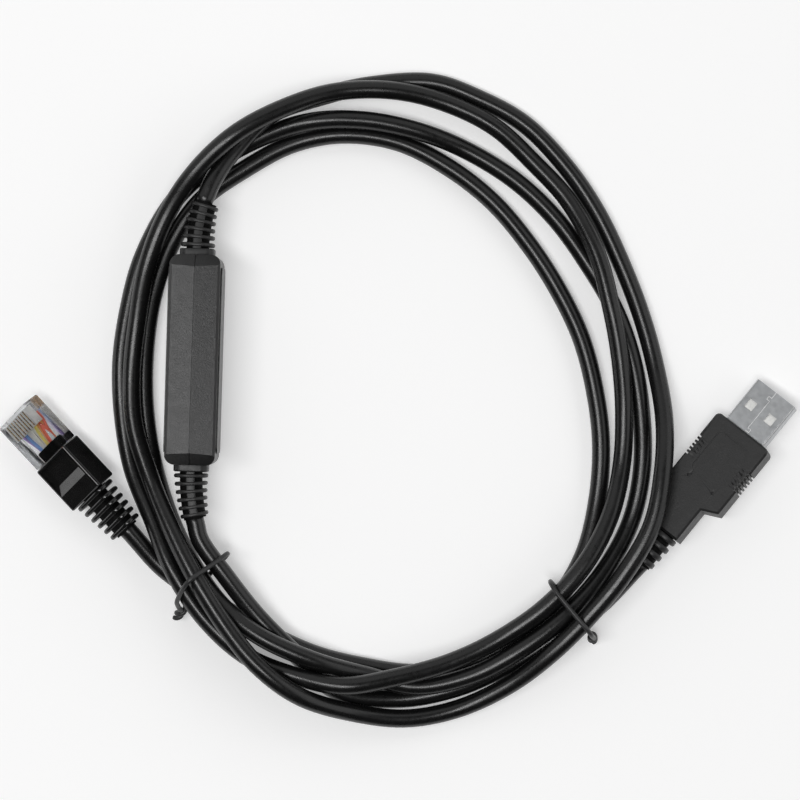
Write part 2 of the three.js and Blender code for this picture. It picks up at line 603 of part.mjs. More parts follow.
function jacketGeometry() {
  const long = BODY_OUT + TAIL_LONG - JACKET_FROM_FRONT;
  return bar(JACKET_WIDE, JACKET_TALL, long, 1.4, 4).translate(0, -JACKET_FROM_FRONT, 0);
}

function bootGeometry() {
  const top = BOOT_TALL / 2;
  let boot = solidOf(bar(BOOT_WIDE, BOOT_TALL, BOOT_LONG, BOOT_CORNER, 3, 0.3));
  boot = boot.subtract(block(TAIL_WIDE + 2 * FIT, TAIL_LONG + SEAT + THROUGH, TAIL_TALL + 2 * FIT, 0,
    THROUGH - (TAIL_LONG + SEAT + THROUGH) / 2, 0));
  const from = -BOOT_WINDOW_RIM;
  const shape = new THREE.Shape();
  shape.moveTo(from, top + THROUGH).lineTo(from, top - BOOT_WINDOW_DEEP);
  shape.lineTo(from - BOOT_WINDOW_LONG, top - BOOT_WINDOW_DEEP);
  shape.lineTo(from - BOOT_WINDOW_LONG - BOOT_RAMP_LONG, top);
  shape.lineTo(from - BOOT_WINDOW_LONG - BOOT_RAMP_LONG, top + THROUGH).closePath();
  const windowWide = BOOT_WIDE - 2 * BOOT_WINDOW_SIDE;
  boot = boot.subtract(solidOf(prism(shape, windowWide).rotateX(Math.PI / 2).rotateZ(Math.PI / 2)
    .translate(-windowWide / 2, 0, 0)));
  const relief = reliefSolid({
    long: BOOT_RELIEF_LONG,
    wide: BOOT_RELIEF_WIDE,
    endWide: BOOT_RELIEF_END,
    tall: BOOT_RELIEF_TALL,
    endTall: BOOT_RELIEF_END_TALL,
    core: BOOT_RELIEF_CORE,
    ribs: BOOT_RELIEF_RIBS,
    gapShare: 0.46,
  }).translate([0, -BOOT_LONG, 0]);
  const root = block(BOOT_RELIEF_CORE, 2, BOOT_RELIEF_CORE * 0.9, 0, -BOOT_LONG, 0);
  return geometryOf(boot.add(relief).add(root).translate([0, -BODY_OUT - FIT, 0]));
}

const WIRE_COLORS = [0x8a62ad, 0x5a80c4, 0xe9e7e1, 0xe9e7e1, 0xe9e7e1, 0xecd06b, 0xe68d45, 0xcf4a3c];

function modularPlug() {
  const group = new THREE.Group();
  group.position.set(...PLUG_AT);
  group.rotation.set(0, radians(PLUG_ROLL), radians(PLUG_TURN), "ZYX");
  group.add(mesh("plug_body", bodyGeometry(), CLEAR));
  for (let i = 0; i < BLADES; i++) {
    group.add(mesh(`plug_contact_${i + 1}`, bladeGeometry(i), GOLD));
    group.add(mesh(`plug_wire_${i + 1}`, wireGeometry(i), { color: WIRE_COLORS[i], roughness: 0.5 }));
  }
  group.add(mesh("plug_jacket_end", jacketGeometry(), PVC));
  group.add(mesh("plug_boot", bootGeometry(), BOOT_PLASTIC));
  return group;
}

// Everything but the cable itself is centred on the origin and stands on Z = 0.
const fittings = new THREE.Group();
fittings.add(converter(), usbPlug(), modularPlug(), tie("tie_left", LEFT_TIE), tie("tie_right", RIGHT_TIE));
const extent = new THREE.Box3().setFromObject(fittings, true);
const middle = extent.getCenter(new THREE.Vector3());

const cable = new THREE.Group();
cable.name = "console_cable";
cable.add(fittings, cord("cord_usb_side", USB_ROUTE), cord("cord_plug_side", PLUG_ROUTE));
cable.position.set(-middle.x, -middle.y, -extent.min.z);

export default cable;
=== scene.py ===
import math

import bmesh
import bpy
from mathutils import Matrix, Vector, noise


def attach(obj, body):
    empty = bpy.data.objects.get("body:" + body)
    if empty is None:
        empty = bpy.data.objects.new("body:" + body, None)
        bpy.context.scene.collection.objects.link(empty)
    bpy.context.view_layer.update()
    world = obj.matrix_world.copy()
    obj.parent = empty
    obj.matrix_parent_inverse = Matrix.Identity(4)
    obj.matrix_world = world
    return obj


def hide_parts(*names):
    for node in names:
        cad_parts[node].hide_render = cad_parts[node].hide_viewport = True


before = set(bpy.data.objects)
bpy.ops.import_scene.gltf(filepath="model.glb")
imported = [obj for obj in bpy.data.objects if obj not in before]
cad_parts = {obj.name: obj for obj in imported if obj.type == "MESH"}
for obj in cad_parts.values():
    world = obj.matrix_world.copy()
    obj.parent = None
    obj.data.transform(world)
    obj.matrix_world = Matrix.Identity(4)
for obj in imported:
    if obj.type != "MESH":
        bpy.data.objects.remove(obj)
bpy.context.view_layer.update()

# Places, sizes and routes are in millimetres and degrees, as in the part's source; MM makes them metres.
# The view, the floor and the lights are in metres.
MM = 0.001
SHIFT = Vector((0.504122, 5.767021, 0)) * MM

# View: the camera's frame is VIEW_WIDTH wide at the height of the object's middle
VIEW_HEIGHT = 0.8
VIEW_WIDTH = 0.2
MIDDLE_HEIGHT = 0.006
SENSOR_WIDTH = 36
CLIP_END = 10

# Materials: most values of a noise lie between these two
NOISE_LOW = 0.3
NOISE_HIGH = 0.7

# Angles between the faces at an edge: drawn sharp on the CAD nodes' copies and on the shapes made here,
# rounded by a bevel, joined into one flat face, and drawn sharp on the boot too
SHARP_FROM = 75
SHAPE_SHARP_FROM = 50
BEVEL_FROM = 28
FLAT_UNDER = 1
BOOT_CREASES = (16, 27)

# Points closer than this many metres are one, and no rounded bar has a smaller corner, in millimetres
WELD_UNDER = 2e-6
LEAST_CORNER = 0.05

# Cable
CORD_D = 4.6
CORD_INTO_RELIEF = 2.4
CORD_STEPS = 14
CORD_SIDES = 28
CORD_WOBBLE = 0.004
WOBBLE_SCALE = 180

# Strain reliefs; a straight one takes a very slight bend, because its radius is worked out from it
RIB_CORNER_SHARE = 0.42
CORE_STEPS = 12
SPINE_SHARE = 0.95
SPINE_CORNER = 0.25
STRAIGHT = 0.001

# Converter
CASE_AT = (-51.1, 9.9)
CASE_LEAN = -1.7
CASE_LONG = 52
CASE_TALL = 20
CASE_EDGE = 0.45
COLLAR_WIDE = 8.6
COLLAR_TALL = 9
COLLAR_LONG = 1.7
COLLAR_DEEP = 1
COLLAR_CORNER = 2
CASE_RELIEF_LONG = 13.4
CASE_RELIEF_EDGE = 0.35
CASE_RELIEF_END = 6.8
USB_SIDE_BEND = -13
PLUG_SIDE_BEND = 16

# USB plug
USB_AT = (86.4, -8.4, 5.95)
USB_TURN = -39.1
USB_ROLL = -17
GRIP_END = -31.8
GRIP_EDGE = 0.08
GRIP_RELIEF_IN = 0.3
GRIP_RELIEF_LONG = 10.3
SHELL_EDGE = 0.05
SEAM_FLOOR = 2.075
SEAM_FLOOR_TOLERANCE = 0.05

# Modular plug
PLUG_AT = (-95.6, -2.9, 6.35)
PLUG_TURN = 43
PLUG_ROLL = -35
BODY_WIDE = 11.68
BODY_TALL = 6.5
BODY_OUT = 14.2
BOOT_END = -27.72
BOOT_EDGE = 0.22
BOOT_RELIEF_IN = 0.2
BOOT_RELIEF_LONG = 12.8
LATCH_HALF = 3
# The latch's cross sections from its root to its tip: (y, z) of the upper and of the lower edge
LATCH_SECTIONS = [
    ((-0.7, -3.6), (-1.6, -4.2)), ((-5.4, -4.0), (-5.2, -4.75)), ((-12.6, -4.7), (-12.6, -5.4)),
]
WALL_WIDE = 0.56
WALL_TALL = 2.5
WALL_LONG = 4.8
WALL_AT = (-1.1, 1.75)
JACKET_WIDE = 7.3
JACKET_TALL = 3.5
JACKET_LONG = 7.1
JACKET_AT = (0, -11.3, -0.1)
BLADE_PITCH = 1.02
WIRE_D = 0.92
WIRE_STEPS = 5
WIRE_SIDES = 14
WIRE_LIFT = 0.3
# The wires' way back from the contacts: share of the contact's place across, y, z, share of WIRE_LIFT
WIRE_PATH = [
    (1, -3.4, -0.3, 0), (1, -5.6, -0.25, 0), (0.86, -7.8, 0, 1), (0.7, -10.2, 0, 1.3),
    (0.64, -12.2, 0, 1.3),
]
WIRE_ORDER = ["wire_violet", "wire_blue", "wire_white", "wire_white", "wire_white", "wire_yellow",
              "wire_orange", "wire_red"]
WIRE_COLORS = {
    "wire_violet": (0.42, 0.28, 0.66),
    "wire_blue": (0.22, 0.4, 0.8),
    "wire_white": (0.88, 0.86, 0.82),
    "wire_yellow": (0.92, 0.78, 0.2),
    "wire_orange": (0.92, 0.42, 0.1),
    "wire_red": (0.8, 0.14, 0.08),
}
USB_CONTACTS = 4

# Wire ties
TIE_SMOOTHING = 2
TIE_SWELL = 0.05

# Half of the floor's side
FLOOR_HALF = 3

USB_ROUTE = [
    (59.5, -41.5, 5.9), (50, -51.5, 4.5), (39, -59.5, 3.9), (26.5, -67, 2.5), (13.5, -72.5, 2.5),
    (-0.5, -75, 2.5), (-15.5, -73, 4.8), (-25.5, -64, 7), (-35.5, -54, 7.7), (-44, -43, 9.6),
    (-49.4, -35.4, 10), (-50.9, -30.4, 10),
]
PLUG_ROUTE = [
    (-48.4, 50.4, 10), (-46.2, 55.2, 9.6), (-41.6, 62, 8.3), (-32.5, 71.1, 7.3), (-20, 76, 3.5),
    (-7.5, 79, 2.5), (7.5, 79.8, 2.5), (19.9, 75.6, 2.5), (31.6, 69, 2.5), (41.8, 58.4, 2.5),
    (49.5, 47, 2.5), (55.5, 34.5, 2.5), (60.5, 21.5, 2.5), (64, 8.5, 3.5), (66, -5, 7),
    (65.3, -18, 11), (62.5, -31.1, 12), (55.9, -42.8, 11.5), (47.6, -53.2, 10.2), (38, -63, 8.2),
    (27.5, -71.2, 5), (15, -77.3, 3), (1.5, -79.8, 4.1), (-12, -78, 7.2), (-24.6, -73.6, 13.2),
    (-34.8, -66, 15.7), (-43.3, -55.8, 14.3), (-50.6, -44.2, 13.5), (-56.7, -32.3, 11.3), (-62, -20, 8.5),
    (-66.3, -6.5, 7), (-67, 6.5, 6.5), (-65.5, 20.5, 7), (-63, 34, 7), (-58, 46.5, 8.4),
    (-50.5, 57.2, 11.3), (-40.5, 66.2, 13.1), (-28.5, 72.7, 11.5), (-16, 76.8, 8.4), (-2, 77.3, 7),
    (11, 74.5, 5), (23.5, 68.5, 4.4), (33.6, 59.5, 2.8), (42.5, 49.5, 4), (49, 37, 6.5),
    (52.5, 24, 7.5), (55, 10.5, 6.5), (56.1, -3.5, 5), (55.4, -17, 5), (52.1, -29.8, 7.5),
    (45.4, -41.8, 9), (35.7, -52, 9), (24, -60, 8), (12, -65.5, 8.9), (-1.5, -69, 11.3),
    (-14.5, -70.8, 13), (-27.5, -68.2, 10.3), (-39, -63.3, 8.8), (-49, -54, 9), (-56.5, -42.5, 9.3),
    (-61.8, -30, 6.6), (-67, -17.5, 3.5), (-69.5, -4.5, 2.5), (-70, 9.5, 2.5), (-68, 23.5, 2.5),
    (-64.5, 36, 2.5), (-57.5, 49, 2.5), (-48, 58.3, 2.5), (-36, 65.3, 3.6), (-22.5, 69.5, 6.5),
    (-9, 69.9, 6.3), (4.5, 67.3, 5.1), (17, 62.5, 2.5), (29, 55, 2.5), (39, 45.5, 2.5),
    (47, 34.5, 2.5), (54, 22.5, 2.5), (58.5, 9.5, 2.5), (60.7, -4.5, 2.5), (60.7, -18, 2.5),
    (57.7, -31.2, 2.5), (50.9, -43.1, 4.5), (41.5, -53.5, 7.4), (30.5, -62, 7.9), (18.5, -68.5, 7),
    (4.5, -71.5, 6.7), (-8.5, -68.7, 7.3), (-21.5, -64.7, 11.3), (-34.5, -58.8, 12.1), (-44.5, -51, 9.1),
    (-52, -40.5, 7.6), (-58, -28.5, 3.9), (-62, -15.5, 2.5), (-64, -2, 2.5), (-64, 12, 2.5),
    (-62, 26, 2.5), (-57.5, 39, 2.5), (-50, 50, 2.8), (-38.9, 58, 2.5), (-26.9, 64.3, 2.5),
    (-14, 66.6, 3), (-0.4, 64.7, 2.5), (12, 58.5, 2.5), (23, 50, 2.5), (32, 39.5, 2.5),
    (39.5, 28, 2.5), (45.5, 15.5, 2.5), (49, 2, 2.5), (50.5, -11.5, 2.5), (49.5, -25.5, 2.5),
    (46, -39, 3.5), (39, -50.5, 4), (29, -59.5, 3.5), (17, -66, 2.8), (4, -68.5, 2.5),
    (-9, -66.9, 2.5), (-22, -63.6, 2.5), (-35.5, -57.3, 2.5), (-48, -49.8, 4.2), (-59, -42.5, 4.2),
    (-67.6, -32.9, 6.2),
]


# Camera
def make_camera():
    data = bpy.data.cameras.new("camera")
    data.sensor_width = SENSOR_WIDTH
    data.lens = SENSOR_WIDTH * (VIEW_HEIGHT - MIDDLE_HEIGHT) / VIEW_WIDTH
    data.clip_end = CLIP_END
    camera = bpy.data.objects.new("camera", data)
    camera.location = SHIFT + Vector((0, 0, VIEW_HEIGHT))
    bpy.context.collection.objects.link(camera)
    bpy.context.scene.camera = camera


# Materials
class Nodes:
    """A material's node tree, with the few calls that the materials below need."""

    def __init__(self, name, **sockets):
        self.material = bpy.data.materials.new(name)
        self.material.use_nodes = True
        self.tree = self.material.node_tree
        self.shader = self.tree.nodes["Principled BSDF"]
        for key, value in sockets.items():
            self.shader.inputs[key.replace("_", " ")].default_value = value

    def add(self, kind, inputs=None):
        node = self.tree.nodes.new(kind)
        for key, value in (inputs or {}).items():
            if hasattr(value, "is_output"):
                self.tree.links.new(value, node.inputs[key])
            else:
                node.inputs[key].default_value = value
        return node

    def link(self, output, socket):
        self.tree.links.new(output, self.shader.inputs[socket])

    def noise(self, scale, detail=3, roughness=0.5):
        where = self.add("ShaderNodeTexCoord").outputs["Object"]
        return self.add("ShaderNodeTexNoise", {"Vector": where, "Scale": scale, "Detail": detail,
                                               "Roughness": roughness}).outputs["Fac"]

    def tone(self, value, dark, light):
        """Drives the base colour between two colours."""
        node = self.add("ShaderNodeValToRGB", {"Fac": value})
        ends = node.color_ramp.elements
        ends[0].position, ends[0].color = NOISE_LOW, (*dark, 1)
        ends[1].position, ends[1].color = NOISE_HIGH, (*light, 1)
        self.link(node.outputs["Color"], "Base Color")

    def rough(self, value, low, high):
        """Drives the roughness between two values."""
        node = self.add("ShaderNodeMapRange", {"Value": value, "To Min": low, "To Max": high,
                                               "From Min": NOISE_LOW, "From Max": NOISE_HIGH})
        self.link(node.outputs["Result"], "Roughness")

    def bump(self, height, strength, distance, normal=None):
        inputs = {"Height": height, "Strength": strength, "Distance": distance}
        if normal:
            inputs["Normal"] = normal
        return self.add("ShaderNodeBump", inputs).outputs["Normal"]


def grey(value):
    return (value, value, value)


def pvc(name, base=0.005, rough=(0.24, 0.34)):
    """Smooth black plastic: slow tone drift, faint scuffs and a hint of orange peel."""
    n = Nodes(name, Specular_IOR_Level=0.5)
    n.tone(n.noise(scale=90, detail=4), grey(base * 0.8), (base * 1.25, base * 1.25, base * 1.3))
    n.rough(n.noise(scale=700, detail=5, roughness=0.65), *rough)
    broad = n.bump(n.noise(scale=240, detail=2), strength=0.06, distance=0.0001)
    n.link(n.bump(n.noise(scale=1600, detail=2), strength=0.05, distance=0.00004, normal=broad), "Normal")
    return n.material


def textured(name, base, rough):
    """Moulded black plastic with a fine spark-eroded texture."""
    n = Nodes(name, Specular_IOR_Level=0.5)
    speckle = n.noise(scale=2100, detail=4, roughness=0.75)
    n.tone(speckle, grey(base * 0.72), (base * 1.28, base * 1.28, base * 1.32))
    n.rough(n.noise(scale=500, detail=4), *rough)
    n.link(n.bump(speckle, strength=0.6, distance=0.0001), "Normal")
    return n.material


def glossy(name, base=0.006):
    """Polished black plastic."""
    n = Nodes(name, Specular_IOR_Level=0.55)
    n.tone(n.noise(scale=200), grey(base * 0.8), grey(base * 1.3))
    n.rough(n.noise(scale=600, detail=4), 0.14, 0.24)
    n.link(n.bump(n.noise(scale=260, detail=2), strength=0.03, distance=0.0001), "Normal")
    return n.material


def plated(name):
    """Satin nickel-plated sheet with slight changes of tone."""
    n = Nodes(name, Metallic=1.0)
    n.tone(n.noise(scale=420, detail=5, roughness=0.6), (0.36, 0.37, 0.38), (0.45, 0.46, 0.47))
    n.rough(n.noise(scale=900, detail=4), 0.3, 0.38)
    return n.material


def painted_highlight_edge(name):
    """The floor of the seam in the plated sheet, painted near white: a painted highlight for the light that
    its bare cut edge catches.
    """
    n = Nodes(name, Metallic=0.2)
    n.tone(n.noise(scale=900), grey(0.86), grey(0.97))
    n.rough(n.noise(scale=900), 0.4, 0.5)
    return n.material


def painted_shade_core(name):
    """Painted shade: near-black and barely reflective, for the shade at the bottom of the slots of a strain
    relief.
    """
    n = Nodes(name, Specular_IOR_Level=0.08)
    n.tone(n.noise(scale=600), grey(0.002), grey(0.005))
    n.rough(n.noise(scale=900), 0.6, 0.75)
    return n.material


def gold(name):
    n = Nodes(name, Metallic=1.0)
    n.tone(n.noise(scale=1500), (0.52, 0.3, 0.13), (0.7, 0.45, 0.22))
    n.rough(n.noise(scale=2500), 0.2, 0.34)
    return n.material


def clear(name):
    """Clear plastic; its index is low, so that what lies in it shows at a slant too."""
    n = Nodes(name, Transmission_Weight=1.0, IOR=1.25)
    n.tone(n.noise(scale=300, detail=2), (0.76, 0.77, 0.78), (0.84, 0.85, 0.86))
    n.rough(n.noise(scale=500), 0.04, 0.12)
    n.link(n.bump(n.noise(scale=500, detail=2), strength=0.08, distance=0.0001), "Normal")
    return n.material


def insulation(name, color):
    """Satin coloured plastic."""
    n = Nodes(name)
    n.tone(n.noise(scale=1200, detail=2), tuple(c * 0.85 for c in color), color)
    n.rough(n.noise(scale=900, detail=2), 0.32, 0.45)
    return n.material


# Mesh helpers
def mesh_object(name, verts, faces, smooth=True):
    mesh = bpy.data.meshes.new(name)
    mesh.from_pydata([tuple(v) for v in verts], [], faces)
    mesh.validate()
    mesh.update()
    for polygon in mesh.polygons:
        polygon.use_smooth = smooth
    made = bpy.data.objects.new(name, mesh)
    bpy.context.collection.objects.link(made)
    return made


def spline(route, per_piece):
    """The same smooth line that the part's source draws through the points."""
    points = [Vector(p) for p in route]
    points = [2 * points[0] - points[1], *points, 2 * points[-1] - points[-2]]
    line = []
    for i in range(1, len(points) - 2):
        p0, p1, p2, p3 = points[i - 1:i + 3]
        for k in range(per_piece):
            t = k / per_piece
            line.append(0.5 * (2 * p1 + (p2 - p0) * t + (2 * p0 - 5 * p1 + 4 * p2 - p3) * t * t
                               + (3 * p1 - p0 - 3 * p2 + p3) * t ** 3))
    line.append(points[-2])
    return line


def tube(name, line, radius, sides, wobble=0.0):
    """A round tube along a line, with closed ends and an optional very slight unevenness."""
    verts, faces = [], []
    ahead = (line[1] - line[0]).normalized()
    side = ahead.orthogonal().normalized()
    for i, point in enumerate(line):
        ahead = (line[min(i + 1, len(line) - 1)] - line[max(i - 1, 0)]).normalized()
        side = (side - ahead * side.dot(ahead)).normalized()
        other = ahead.cross(side)
        for k in range(sides):
            angle = 2 * math.pi * k / sides
            out = side * math.cos(angle) + other * math.sin(angle)
            uneven = 1 + wobble * noise.noise((point + out * radius) * WOBBLE_SCALE)
            verts.append(point + out * radius * uneven)
    for i in range(len(line) - 1):
        for k in range(sides):
            a, b = i * sides + k, i * sides + (k + 1) % sides
            faces.append((a, b, b + sides, a + sides))
    faces.append(tuple(reversed(range(sides))))
    last = (len(line) - 1) * sides
    faces.append(tuple(range(last, last + sides)))
    return mesh_object(name, verts, faces)


def placed(at, turn, roll=0.0):
    """The matrix that puts a shape drawn in millimetres where the part's source puts it."""
    return (Matrix.Translation(Vector(at) * MM + SHIFT) @ Matrix.Rotation(math.radians(turn), 4, "Z")
            @ Matrix.Rotation(math.radians(roll), 4, "Y") @ Matrix.Scale(MM, 4))


def rounded_ring(wide, tall, corner, per_corner=6):
    """Points round a rounded rectangle in the XZ plane."""
    ring = []
    for quarter, (sx, sz) in enumerate([(1, 1), (-1, 1), (-1, -1), (1, -1)]):
        for k in range(per_corner + 1):
            angle = math.pi / 2 * (quarter + k / per_corner)
            ring.append(Vector((sx * (wide / 2 - corner) + corner * math.cos(angle), 0,
                                sz * (tall / 2 - corner) + corner * math.sin(angle))))
    return ring


def pillow_rings(wide, tall, long, corner, edge, steps=3):
    """Rings of a rounded bar along -Y from y = 0, with its end edges rounded as well."""
    half = []
    for k in range(steps + 1):
        angle = math.pi / 2 * k / steps
        half.append((edge * (1 - math.cos(angle)), edge * (1 - math.sin(angle))))
    stations = [(-back, inset) for back, inset in half]
    stations += [(back - long, inset) for back, inset in reversed(half)]
    rings = []
    for y, inset in stations:
        ring = rounded_ring(wide - 2 * inset, tall - 2 * inset, max(corner - inset, LEAST_CORNER))
        rings.append([point + Vector((0, y, 0)) for point in ring])
    return rings


class Shape:
    """Closed lofts gathered into one mesh; a loft of slot 1 can have a material of its own."""

    def __init__(self):
        self.verts, self.faces, self.slots = [], [], []

    def loft(self, rings, slot=0, move=None):
        move = move or Matrix.Identity(4)
        start = len(self.verts)
        count = len(rings[0])
        for ring in rings:
            self.verts.extend(move @ point for point in ring)
        faces = [tuple(range(start, start + count)),
                 tuple(range(start + (len(rings) - 1) * count, start + len(rings) * count))]
        for i in range(len(rings) - 1):
            for k in range(count):
                a = start + i * count + k
                b = start + i * count + (k + 1) % count
                faces.append((a, b, b + count, a + count))
        self.faces.extend(faces)
        self.slots.extend([slot] * len(faces))

    def build(self, name, matrix, node=None):
        """Makes the object; node is the CAD node that it replaces."""
        made = mesh_object(name, [matrix @ v for v in self.verts], self.faces)
        work = bmesh.new()
        work.from_mesh(made.data)
        bmesh.ops.recalc_face_normals(work, faces=work.faces)
        for edge in work.edges:
            edge.smooth = edge.calc_face_angle(0) < math.radians(SHAPE_SHARP_FROM)
        work.to_mesh(made.data)
        work.free()
        if node:
            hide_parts(node)
        return made

    def second_material(self, made, material):
        """Gives the lofts of slot 1 a material of their own."""
        made.data.materials.append(material)
        for polygon, slot in zip(made.data.polygons, self.slots):
            polygon.material_index = slot


def bend_at(share, long, bend):
    """Where a relief bent by an even curve has got to, as a matrix."""
    turned = math.radians(bend)
    radius = long / turned
    angle = turned * share
    return (Matrix.Translation((-radius * (1 - math.cos(angle)), -radius * math.sin(angle), 0))
            @ Matrix.Rotation(-angle, 4, "Z"))


def mix(a, b, share):
    return a + (b - a) * share


def add_relief(shape, start, long, wide, tall, core, ribs, gap_share, edge, spine=0.0, bend=STRAIGHT):
    """Rounded ribs on a core, from start along -Y; wide and tall are (root, end). The core is slot 1, which
    the callers give the painted shade of the slots.
    """
    pitch = long / ribs
    thick = pitch * (1 - gap_share)
    down = Matrix.Translation((0, start, 0))
    for i in range(ribs):
        share = (i + 0.5) / ribs
        w, t = mix(*wide, share), mix(*tall, share)
        middle = down @ bend_at(share, long, bend) @ Matrix.Translation((0, thick / 2, 0))
        shape.loft(pillow_rings(w, t, thick, min(w, t) * RIB_CORNER_SHARE, edge), 0, middle)
    core_rings, spine_rings = [], []
    for k in range(CORE_STEPS + 1):
        share = k / CORE_STEPS
        move = down @ bend_at(share, long, bend)
        core_rings.append([move @ point for point in rounded_ring(core, core, core * RIB_CORNER_SHARE)])
        if spine:
            tall_here = mix(*tall, share) * SPINE_SHARE
            spine_rings.append([move @ point for point in rounded_ring(spine, tall_here, SPINE_CORNER, 3)])
    # Slot 1: the core, which takes the painted shade at the bottom of the slots.
    shape.loft(core_rings, 1)
    if spine:
        shape.loft(spine_rings[:-1], 0)


def softened(name, node, width, segments=2):
    """A copy of a CAD node's shape with its edges rounded, as a moulding's are."""
    made = copy_of(name, node)
    soften(made, width, segments)
    return made


def soften(made, width, segments=2):
    """Rounds a piece's edges; its big faces set the normals, so that they stay flat."""
    bevel = made.modifiers.new("bevel", "BEVEL")
    bevel.width = width * MM
    bevel.segments = segments
    bevel.limit_method = "ANGLE"
    bevel.angle_limit = math.radians(BEVEL_FROM)
    bevel.miter_outer = "MITER_ARC"
    flatten = made.modifiers.new("flatten", "WEIGHTED_NORMAL")
    flatten.mode = "FACE_AREA"
    flatten.weight = 100
    flatten.keep_sharp = True
    apply_modifiers(made)


def rounded(name, node, levels, grow):
    """A copy of a CAD node with its facets turned into one smooth round surface."""
    made = copy_of(name, node, dissolve=False)
    smooth = made.modifiers.new("smooth", "SUBSURF")
    smooth.levels = levels
    swell = made.modifiers.new("swell", "DISPLACE")
    swell.strength = grow * MM
    swell.mid_level = 0
    apply_modifiers(made)
    return made


def cut_behind(work, local, y):
    """Drops what lies behind a plane across the piece, at y in the frame local, and closes the cut."""
    at = local @ Vector((0, y, 0))
    normal = (local.to_3x3() @ Vector((0, -1, 0))).normalized()
    geometry = work.verts[:] + work.edges[:] + work.faces[:]
    cut = bmesh.ops.bisect_plane(work, geom=geometry, plane_co=at, plane_no=normal, clear_outer=True)
    edges = [e for e in cut["geom_cut"] if isinstance(e, bmesh.types.BMEdge)]
    bmesh.ops.holes_fill(work, edges=edges, sides=0)


def copy_of(name, node, dissolve=True, place=None, end=0, crease=None):
    """A node's mesh as a new object, with the facets of each flat face joined into one.

    Where place and end are given, what lies behind end is left off. Edges that turn by an angle
    within crease are drawn sharp.
    """
    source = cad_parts[node]
    made = bpy.data.objects.new(name, source.data.copy())
    bpy.context.collection.objects.link(made)
    made.matrix_world = source.matrix_world.copy()
    made.data.materials.clear()
    work = bmesh.new()
    work.from_mesh(made.data)
    bmesh.ops.remove_doubles(work, verts=work.verts, dist=WELD_UNDER)
    if place:
        cut_behind(work, made.matrix_world.inverted() @ place, end)
    if dissolve:
        bmesh.ops.dissolve_limit(work, angle_limit=math.radians(FLAT_UNDER), verts=work.verts,
                                 edges=work.edges)
    for edge in work.edges:
        turned = math.degrees(edge.calc_face_angle(0))
        edge.smooth = turned < SHARP_FROM and not (crease and crease[0] < turned < crease[1])
    work.to_mesh(made.data)
    work.free()
    made.data.shade_smooth()
    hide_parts(node)
    return made


def apply_modifiers(made):
    depsgraph = bpy.context.evaluated_depsgraph_get()
    evaluated = made.evaluated_get(depsgraph)
    mesh = bpy.data.meshes.new_from_object(evaluated)
    made.modifiers.clear()
    made.data = mesh


def finish_piece(piece, material):
    piece.data.materials.clear()
    piece.data.materials.append(material)
    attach(piece, "root")
    return piece


# Cable
def run_on(line, extra):
    """The line with both of its ends made longer, straight on into what holds the cable."""
    start = line[0] + (line[0] - line[1]).normalized() * extra
    end = line[-1] + (line[-1] - line[-2]).normalized() * extra
    return [start, *line, end]


def make_cord(name, node, route, material):
    line = [p * MM + SHIFT for p in spline(route, CORD_STEPS)]
    piece = tube(name, run_on(line, CORD_INTO_RELIEF * MM), CORD_D / 2 * MM, CORD_SIDES, CORD_WOBBLE)
    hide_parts(node)
    finish_piece(piece, material)


def plain(node, material):
    """Gives a CAD node that stays in view its material."""
    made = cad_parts[node]
    made.data.materials.clear()
    made.data.materials.append(material)


# Reliefs of the converter
def converter_relief(name, node, side, bend):
    """The relief on one end of the converter; side is 1 at the end where +Y is, and -1 at the other."""
    shape = Shape()
    collar = pillow_rings(COLLAR_WIDE, COLLAR_TALL, COLLAR_LONG + COLLAR_DEEP, COLLAR_CORNER, CASE_RELIEF_EDGE)
    shape.loft(collar, move=Matrix.Translation((0, COLLAR_DEEP, 0)))
    add_relief(shape, -COLLAR_LONG, CASE_RELIEF_LONG - COLLAR_LONG, wide=(COLLAR_WIDE, CASE_RELIEF_END),
               tall=(COLLAR_TALL, CASE_RELIEF_END), core=5.6, ribs=6, gap_share=0.5,
               edge=CASE_RELIEF_EDGE, spine=2.1, bend=bend)
    case = placed((*CASE_AT, 0), CASE_LEAN)
    out = Matrix.Translation((0, side * CASE_LONG / 2, CASE_TALL / 2))
    turned = Matrix.Rotation(math.pi if side > 0 else 0, 4, "Z")
    made = shape.build(name, case @ out @ turned, node)
    finish_piece(made, relief_material)
    shape.second_material(made, jacket_black_and_painted_shade)


# USB plug
def usb_plug():
    """The grip is cut where its relief starts, and the relief is a piece of its own."""
    place = placed(USB_AT, USB_TURN, USB_ROLL)
    grip = copy_of("grip", "usb_grip", dissolve=False, place=place, end=GRIP_END)
    soften(grip, GRIP_EDGE, 1)
    finish_piece(grip, textured("grip_plastic", 0.007, (0.44, 0.52)))
    ribs = Shape()
    add_relief(ribs, GRIP_END + GRIP_RELIEF_IN, GRIP_RELIEF_LONG, wide=(7.6, 6.2), tall=(6.8, 6.2),
               core=5.2, ribs=4, gap_share=0.42, edge=0.4)
    relief = finish_piece(ribs.build("grip_relief", place), relief_material)
    ribs.second_material(relief, jacket_black_and_painted_shade)
    shell = softened("shell", "usb_shell", SHELL_EDGE)
    finish_piece(shell, plated("plated_steel"))
    # The faces on the seam's floor take the painted highlight.
    shell.data.materials.append(painted_highlight_edge("seam_painted_highlight"))
    local = place.inverted() @ shell.matrix_world
    for polygon in shell.data.polygons:
        if abs((local @ polygon.center).z - SEAM_FLOOR) < SEAM_FLOOR_TOLERANCE:
            polygon.material_index = 1


